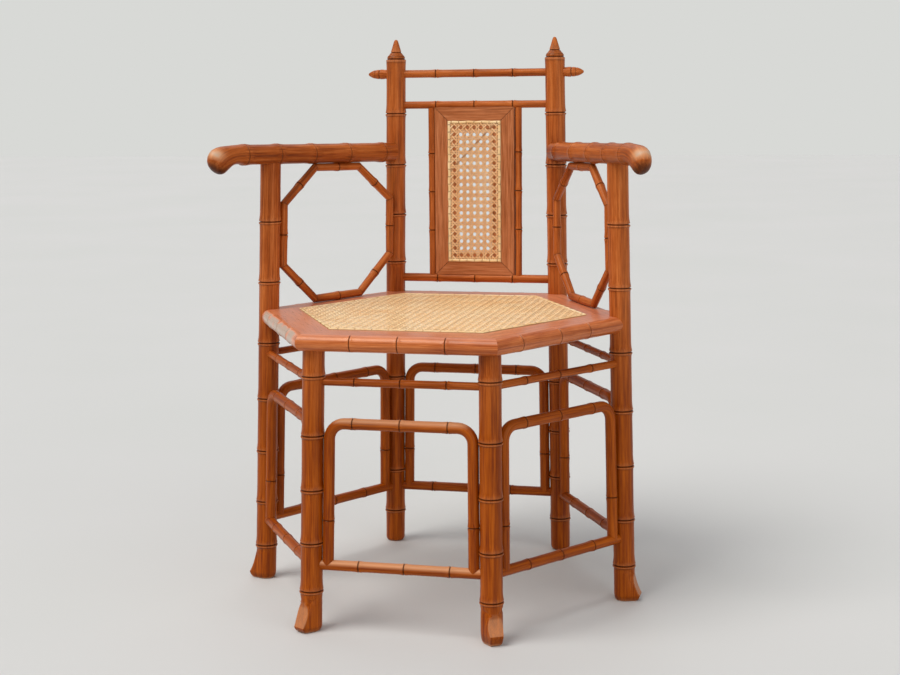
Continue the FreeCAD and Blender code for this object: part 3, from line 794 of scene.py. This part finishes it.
def clip(point, way, corners):
    """Range of a line's parameter inside a convex outline, in the plane."""
    low, high = -1e9, 1e9
    for a, b in zip(corners, corners[1:] + corners[:1]):
        edge = b - a
        top, bottom = np.dot(turned(edge), point - a), np.dot(turned(edge), way)
        if abs(bottom) < 1e-9:
            if top < 0:
                return None
        elif bottom > 0:
            low = max(low, -top / bottom)
        else:
            high = min(high, -top / bottom)
    return (low, high) if high - low > SHORTEST else None


# edge sets the painted shade along each strand's edges
def weave(name, corners, pitch, start, place, face, widths, split, seed, material, edge, rough_tone,
          stained=None, pair_tone=0.0):
    """Six-way weave: pairs across and up, and two diagonals through the middle of each pair's span.

    Widths are those of a pair's strand and of a diagonal; split is half the distance in a pair."""
    shell = Shell(seed)
    rng = np.random.default_rng(seed)
    corners = [np.array(c, float) for c in corners]
    low, high = np.min(corners, axis=0), np.max(corners, axis=0)
    start, pitch = np.array(start), np.array(pitch)
    numbers = itertools.count(1)

    def run(point, way, height, width, tone):
        """One strand, a little out of line as woven by hand."""
        offset = next(numbers) * 3.7
        reach = clip(point, way, corners)
        if reach is None:
            return
        spots = np.append(np.arange(reach[0], reach[1], pitch[0] / 5.0), reach[1])
        drift = rng.normal(0, 0.25)
        sway = rng.uniform(0, 6.28)
        normal = turned(way)
        line = []
        for t in spots:
            stray = drift * sin(t * 0.035 + sway) + 0.12 * sin(t * 0.21 + sway)
            p = point + way * t + normal * stray
            line.append(place(p[0], p[1], STRAND_LIFT + height(point + way * t)))
        across = unit(place(normal[0], normal[1], 0) - place(0, 0, 0))
        ribbon(shell, line, across, face, width, STRAND_THICK, tone, offset, edge)

    def tone_of():
        return np.clip(rng.normal(0.03, 0.09), 0, 0.6) if rng.random() > 0.05 else rough_tone

    def wave(axis, depth):
        return lambda p: depth * cos(2 * pi * (p[axis] - start[axis]) / pitch[axis])

    firsts, lasts = np.floor((low - start) / pitch), np.ceil((high - start) / pitch)
    for step, way, side in ((0, vec(0, 1), 1), (1, vec(1, 0), -1)):
        for k in np.arange(firsts[step], lasts[step] + 1):
            for sign in (-1, 1):
                point = start.copy()
                point[step] = start[step] + k * pitch[step] + sign * split
                run(point, way, wave(1 - step, side * PAIR_WAVE * sign), widths[0], tone_of() + pair_tone)
    span = int(np.sum((high - low) / pitch)) + 4
    for slope in (1, -1):
        way = pitch * (1, slope) / hypot(*pitch)
        for k in range(-span, span + 1):
            run(start + vec((k + 0.5) * pitch[0], 0), way, wave(0, DIAGONAL_WAVE * slope), widths[1],
                0.75 if (slope, k) == stained else tone_of())
    shell.build(name, material, "woven_cane", 60)


BINDER_WIDTH = 5.0
# across the binder as a share of its width, out of its face as a share of its thickness, darkness (painted
# shadow lines along both edges, darkest at the outer one)
BINDER = ((0.02, 0.0, 0.95), (0.04, 0.45, 0.5), (0.22, 0.85, 0.0), (0.5, 1.0, 0.0), (0.78, 0.85, 0.0),
          (0.96, 0.45, 0.3), (0.98, 0.0, 0.8))
TIE_STEPS, TIE_WIDTH, TIE_THICK = 8, 1.5, 0.5


def binder(name, corners, place, face, thick, spacing, seed):
    """Crowned strip round an outline, tied down by small loops."""
    shell = Shell(seed)
    rng = np.random.default_rng(seed)
    corners = [np.array(c, float) for c in corners]
    n = len(corners)
    inner = mitre_ways(corners)
    for k in range(n):
        a, b = corners[k], corners[(k + 1) % n]
        length = norm(b - a)
        way = (b - a) / length
        normal = turned(way)
        steps = max(2, int(length / 3.0))
        rings = []
        for s in range(steps + 1):
            share = s / steps
            skew = inner[k] * (1 - share) + inner[(k + 1) % n] * share
            stray = 0.4 * sin(share * length * 0.23 + 2.1 * k) * sin(pi * share)
            swell = thick * (1 + 0.06 * sin(share * length * 0.26))
            base = a + (b - a) * share + normal * stray
            points, grain = [], []
            for u, h, _ in BINDER:
                p = base + skew * (u * BINDER_WIDTH)
                points.append(place(p[0], p[1], h * swell))
                grain.append((u * BINDER_WIDTH, k * 5.0, share * length))
            rings.append(shell.ring(points, grain, [row[2] for row in BINDER], 0.02 + 0.05 * rng.random()))
        shell.loft(rings, len(BINDER), shell.lid)
        ties = int(length / spacing)
        across = unit(place(way[0], way[1], 0) - place(0, 0, 0))
        for t in range(ties):
            at = a + way * (length * (t + 0.5) / ties)
            loop = []
            for s in range(TIE_STEPS + 1):
                share = s / TIE_STEPS
                p = at + normal * (BINDER_WIDTH * (share * 1.16 - 0.08))
                loop.append(place(p[0], p[1], thick * sin(share * pi) ** 0.6 + 0.25))
            tone = 0.45 + 0.3 * rng.random()
            ribbon(shell, loop, across, face, TIE_WIDTH, TIE_THICK, tone, t * 2.3 + k * 71)
    shell.build(name, binder_cane, "binder_cane", 50)


def on_seat(x, y, lift):
    return vec(x, y + CENTRE_Y, SEAT + lift)


def on_back(x, z, lift):
    return on_panel(x, z, -HALF_THICK - lift)


def hexagon(corner):
    return [heading(60.0 * k)[:2] * corner for k in range(6)]


def rectangle(half, low, high):
    return [(-half, low), (half, low), (half, high), (-half, high)]


seat_outer = NOSING_CORNER * cos(HALF)
binder_corner = (seat_outer - 58.5) / cos(HALF)
weave("seat_cane", hexagon(binder_corner - BINDER_WIDTH / cos(HALF) + 2.0), (12.5, 12.5), (0.0, 0.0),
      on_seat, UP, (3.05, 2.9), 1.8, 5, cane, edge=0.1, rough_tone=0.25)
binder("seat_binder", hexagon(binder_corner), on_seat, UP, 1.9, 25.0, 6)

BACK_BINDER, BACK_CANE = 23.2, 23.2 + 4.0  # from the panel's outer edges to the binder's and the cane's
middle_z = (panel_low + panel_high) / 2
weave("back_cane", rectangle(HALF_W - BACK_CANE, panel_low + BACK_CANE, panel_high - BACK_CANE),
      (11.6, 12.1), (5.8, middle_z + 6.05), on_back, -PANEL_REAR, (2.45, 2.8), 1.6, 7, back_fibre,
      edge=0.95, rough_tone=0.15, stained=(1, -7), pair_tone=0.14)
binder("back_binder", rectangle(HALF_W - BACK_BINDER, panel_low + BACK_BINDER, panel_high - BACK_BINDER),
       on_back, -PANEL_REAR, 2.1, 12.1, 8)

# ---------- seat frame
BOARD_WIDTH, BOARD_THICK, BOARD_EDGE = 68.0, 25.0, 0.6
NOSING_R, NOSING_POINTS, NOSING_SWELL = BOARD_THICK / 2, 17, 0.8
NOSING_JOINTS = {"front": (0.271, 0.508, 0.743), "front_right": (0.185, 0.465, 0.685)}
USUAL_JOINTS = (0.24, 0.5, 0.76)  # as shares of the nosing's length
RIM_WEAR_AND_SHEEN_DEPTH, BLEACHED_WIDTH = 9.0, 9.5
seat_inner = seat_outer - BOARD_WIDTH
nosing_axis = seat_outer - NOSING_R


def board_profile(lift, dark):
    """Section of a board: distance from the seat's middle, height and darkness of each point."""
    flat = [seat_inner + (nosing_axis - seat_inner) * k / 4 for k in (1, 2, 3)]
    under = SEAT - BOARD_THICK
    profile = [(seat_inner, under, 0), (seat_inner, under + 1.0, 0), (seat_inner, SEAT - BOARD_EDGE, 0),
               (seat_inner + BOARD_EDGE, SEAT, 0)] + [(u, SEAT, 0) for u in flat]
    for k in range(NOSING_POINTS):
        a = pi / 2 - pi * k / (NOSING_POINTS - 1)
        fade = min(1.0, 2.2 * sin(pi * (k + 0.6) / NOSING_POINTS))
        r = NOSING_R + NOSING_SWELL * lift * fade
        profile.append((nosing_axis + r * cos(a), SEAT - NOSING_R + r * sin(a), dark * fade))
    return profile + [(u, under, 0) for u in reversed(flat)]


def board_tone(bay, p, u, z, t):
    """Painted sheen on the flat top, a rim that pales towards the top with wear and painted highlight, and
    the bleached nosing at the front left.
    """
    tone = 0.0
    # painted sheen on the flat top
    if z > SEAT - 0.1:
        tone = 0.3
    # the nosing's rim pales towards the top: wear, with painted highlight
    elif z > SEAT - RIM_WEAR_AND_SHEEN_DEPTH:
        tone = (0.24 if bay == "front" else 0.08) * (z - SEAT + RIM_WEAR_AND_SHEEN_DEPTH) / RIM_WEAR_AND_SHEEN_DEPTH
    if bay == "front_left" and u > seat_outer - BLEACHED_WIDTH:
        patchy = clamp(0.95 + 1.3 * wobble(p, 0.07))
        tone += patchy * clamp((u - seat_outer + BLEACHED_WIDTH) / 4.0) * clamp(4.2 - abs(t) / 36.0)
    return min(1.0, tone)


for index, (bay, first, _) in enumerate(BAYS):
    shell = Shell(80 + index)
    angle = POSTS[first][0]
    across, along = heading(angle + 30), heading(angle + 120)
    joints = [NOSING_CORNER * s for s in NOSING_JOINTS.get(bay, USUAL_JOINTS)]
    spots, rise, dark = joint_stations(NOSING_CORNER, joints, 9.0, NODE_NOSING)
    rings = []
    for i, (s, lift, d) in enumerate(zip(spots, rise, dark)):
        t = s - NOSING_CORNER / 2
        profile = board_profile(lift, d)
        points, grain, tones = [], [], []
        for u, z, _ in profile:
            reach = u * tan(HALF)
            slide = t if 0 < i < len(spots) - 1 else copysign(reach, t)
            slide = max(-reach, min(reach, slide))
            p = vec(0, CENTRE_Y, 0) + across * u + along * slide + UP * z
            points.append(p)
            grain.append((u, z, slide))
            tones.append(board_tone(bay, p, u, z, t))
        rings.append(shell.ring(points, grain, [row[2] for row in profile], tones))
    shell.loft(rings, len(profile), shell.lid)
    shell.build("seat_board_" + bay, board_wood, smooth=35)

# ---------- arms
ARM_R, ARM_SIDES, ARM_LENGTH, ARM_INBOARD = 15.85, 40, 345.0, 7.0
ARM_REAR, ARM_RISE = 685.5, 8.0         # height of the arm's axis at the back post, rise to the arm post
ARM_JOINTS, LEFT_SHIFT = (47.5, 127.5, 203.0, 275.0, 341.0), 5.0
ARM_KNUCKLE = (
    # top (u, z), bottom (u, z), half width
    ((352.0, 711.6), (350.0, 680.6), 16.2), ((362.0, 711.3), (356.5, 681.1), 16.3),
    ((373.0, 710.8), (363.0, 680.6), 16.4), ((384.0, 710.2), (369.0, 677.9), 16.4),
    ((393.0, 708.8), (373.5, 674.6), 16.2), ((400.5, 706.0), (377.5, 671.7), 15.7),
    ((405.8, 701.6), (381.0, 669.2), 14.9), ((409.2, 696.0), (384.0, 667.7), 13.7),
    ((410.7, 689.8), (387.0, 667.0), 12.0), ((409.6, 683.4), (389.5, 666.9), 9.9),
    ((406.2, 677.4), (391.5, 667.2), 7.2), ((400.8, 671.8), (393.5, 667.8), 4.0),
)
KNUCKLE_PATCHES = (
    # tone, middle (u, z), reach in u and z; worn where it is above 0, darker below
    (0.85, 402, 699, 10.0, 8.5), (-0.85, 399, 672, 13.0, 8.0), (-0.6, 408, 681, 5.0, 8.0))


def bay_line(side, height):
    rear = axis_point("back_post_" + side, height)
    along = unit(axis_point("arm_post_" + side, height) - rear)
    across = vec(along[1], -along[0], 0) * (-1.0 if side == "left" else 1.0)
    return rear, along, across


def bay_length(side, height):
    return norm(axis_point("arm_post_" + side, height) - axis_point("back_post_" + side, height))


def arm_slope(side):
    return ARM_RISE / bay_length(side, ARM_REAR + ARM_RISE)


for index, side in enumerate(SIDE_NAMES):
    shell = Shell(91 + index)
    rear, along, across = bay_line(side, ARM_REAR)
    mirror, shift = (-1, LEFT_SHIFT) if side == "left" else (1, 0.0)
    spots, rise, dark = joint_stations(
        ARM_LENGTH, [j - shift * (1 - j / 320.0) for j in ARM_JOINTS], 8.0, NODE_ARM)
    tilt = arm_slope(side)
    sections = []
    for s, lift, d in zip(spots, rise, dark):
        if s >= BURIED:
            r = ARM_R + lift
            middle, half = vec(s, ARM_REAR + tilt * s), vec(-tilt * r, r)
            sections.append((middle + half, middle - half, r, d))
    sections += [(np.array(top), np.array(bottom), w, 0.0) for top, bottom, w in ARM_KNUCKLE]
    rings = []
    run = 0.0
    before = None
    for top, bottom, w, d in sections:
        middle, half = (top + bottom) / 2, (top - bottom) / 2
        run += 0.0 if before is None else norm(middle - before)
        before = middle
        points, grain, tones = [], [], []
        for k in range(ARM_SIDES):
            a = 2 * pi * k / ARM_SIDES
            u, z = middle + half * cos(a)
            wide = w * sin(a)
            p = rear + along * u + across * (ARM_INBOARD + wide * mirror)
            p[2] = z
            uneven = 0.35 * wobble(p + shell.shift, 0.028) + 0.15 * wobble(p + shell.shift, 0.08)
            off = along * half[0] * cos(a) + UP * half[1] * cos(a) + across * wide
            points.append(p + unit(off) * uneven)
            grain.append((wide, norm(half) * cos(a), run))
            tone = sum(most * exp(-((u - at) / reach) ** 2 - ((z - high) / depth) ** 2)
                       for most, at, high, reach, depth in KNUCKLE_PATCHES)
            # painted shade: the lower half of the arm darkens towards its underside
            tones.append(tone - 0.45 * max(0.0, -cos(a)))
        rings.append(shell.ring(points, grain, d, tones))
    shell.loft(rings, ARM_SIDES, shell.hub)
    shell.build("arm_" + side, wood)

# ---------- rings under the arms
RING_R, RING_BULGE, RING_INBOARD = 6.35, 0.2, 7.5
RING_PIECES = (("top", 0, 1), ("front", 1, 4), ("bottom", 4, 5), ("rear", 5, 8))  # numbers of their corners
ARM_GAP = ARM_SOLID + RING_SOLID + GAP
ARM_DROP = ARM_GAP - 0.7
SIDE_GAP = sqrt((POST_SOLID + RING_SOLID + GAP) ** 2 - RING_INBOARD ** 2)
UNDER_REAR, UNDER_FRONT, SEAT_REAR, SEAT_FRONT = 96.0, 193.0, 93.0, 194.0  # reach of the level sticks' ends
REAR_DROP, FRONT_DROP, SIDE_BOTTOM = 54.5, 55.0, 513.0


def ring_point(side, reach, height):
    rear, along, across = bay_line(side, height)
    return rear + along * reach + across * RING_INBOARD


def under_arm(side, reach):
    p = ring_point(side, reach, ARM_REAR)
    p[2] = ARM_REAR + arm_slope(side) * reach - ARM_DROP
    return p


def beside_arm_post(side, height):
    return ring_point(side, bay_length(side, height) - SIDE_GAP, height)


for index, side in enumerate(SIDE_NAMES):
    bottom = SEAT + RING_SOLID + GAP
    front_top = ARM_REAR + arm_slope(side) * UNDER_FRONT - ARM_GAP - FRONT_DROP
    corners = [
        under_arm(side, UNDER_REAR), under_arm(side, UNDER_FRONT),
        beside_arm_post(side, front_top), beside_arm_post(side, SIDE_BOTTOM),
        ring_point(side, SEAT_FRONT, bottom), ring_point(side, SEAT_REAR, bottom),
        ring_point(side, SIDE_GAP, SIDE_BOTTOM), ring_point(side, SIDE_GAP, ARM_REAR - ARM_GAP - REAR_DROP)]
    for number, (part, first, last) in enumerate(RING_PIECES):
        shell = Shell(101 + number + index * 10)
        for k in range(first, last):
            before, a, b, after = (corners[(k + m) % 8] for m in (-1, 0, 1, 2))
            way = unit(b - a)
            mitres = (a, unit(unit(a - before) + way)), (b, unit(unit(after - b) + way))
            stick(shell, a, b, RING_R, [norm(b - a) / 2], mitres, k * 140.0, RING_BULGE)
        shell.build("ring_%s_%s" % (side, part), wood)

# the loose tongues inside the mitres keep their own solids
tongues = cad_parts["seat_mitre_tongues"]
tongues.data.materials.clear()
tongues.data.materials.append(board_wood)

# ---------- floor, light and camera
floor_mesh = bpy.data.meshes.new("floor")
REACH = 14.0  # metres from the middle to the floor's edges
floor_mesh.from_pydata([(-REACH, -REACH, 0), (REACH, -REACH, 0), (REACH, REACH, 0), (-REACH, REACH, 0)], [],
                       [(0, 1, 2, 3)])
floor = add("floor", floor_mesh)
g = Graph(bpy.data.materials.new("pale_floor"))
g.paint({
    "Roughness": 0.7, "Base Color": g.ramp(
        g.noise(g.place(), 1.2, 3.0), ((0.3, srgb(206, 206, 203)), (0.7, srgb(209, 208, 206))))})
floor_mesh.materials.append(g.owner)

# the sky lights the chair dimly, and the camera sees it in the photo's backdrop colour
world = bpy.data.worlds.new("studio")
bpy.context.scene.world = world
g = Graph(world)
g.tree.nodes.clear()
rays = g.node("ShaderNodeLightPath").outputs
light = g.node("ShaderNodeBackground", {"Color": (0.93, 0.96, 1.0, 1.0), "Strength": 0.36})
seen = g.node("ShaderNodeBackground", {"Color": srgb(216, 217, 214), "Strength": 1.0})
mixed = g.node("ShaderNodeMixShader", {
    0: g.math("MAXIMUM", rays["Is Camera Ray"], rays["Is Transmission Ray"]),
    1: light.outputs[0], 2: seen.outputs[0]})
g.node("ShaderNodeOutputWorld", {"Surface": mixed.outputs[0]})


def lamp(name, place, spread, power, colour):
    """Broad soft light from one side of the sky."""
    data = bpy.data.lights.new(name, "SUN")
    data.angle = radians(spread)
    data.energy = power
    data.color = colour
    made = add(name, data)
    made.location = place
    made.rotation_mode = "QUATERNION"
    made.rotation_quaternion = (-Vector(place)).to_track_quat("-Z", "Y")


lamp("key", (-2.0, -1.8, 3.9), 40, 2.2, (1.0, 0.98, 0.95))
lamp("fill", (2.8, -2.4, 1.6), 60, 0.75, (0.96, 0.98, 1.0))
lamp("rear", (-1.2, 2.6, 3.4), 50, 0.45, (1.0, 1.0, 1.0))

PHOTO_WIDTH, FOCAL_PIXELS, SENSOR = 900.0, 1662.1, 36.0
CAMERA_SPOT = vec(652.9, -2515.04, 815.7)
yaw, pitch, roll = radians(14.182), radians(8.984), radians(-0.805)
ahead = vec(-sin(yaw) * cos(pitch), cos(yaw) * cos(pitch), -sin(pitch))
level_right = vec(cos(yaw), sin(yaw), 0)
level_up = np.cross(level_right, ahead)
right = level_right * cos(roll) + level_up * sin(roll)
top = level_up * cos(roll) - level_right * sin(roll)
camera_data = bpy.data.cameras.new("camera")
camera_data.sensor_fit = "HORIZONTAL"
camera_data.sensor_width = SENSOR
camera_data.lens = FOCAL_PIXELS / PHOTO_WIDTH * SENSOR
camera_data.clip_end = 100.0
camera = add("camera", camera_data)
camera.matrix_world = Matrix([
    (right[k], top[k], -ahead[k], CAMERA_SPOT[k] * MM) for k in range(3)] + [(0, 0, 0, 1)])
bpy.context.scene.camera = camera
bpy.context.scene.view_settings.view_transform = "Standard"
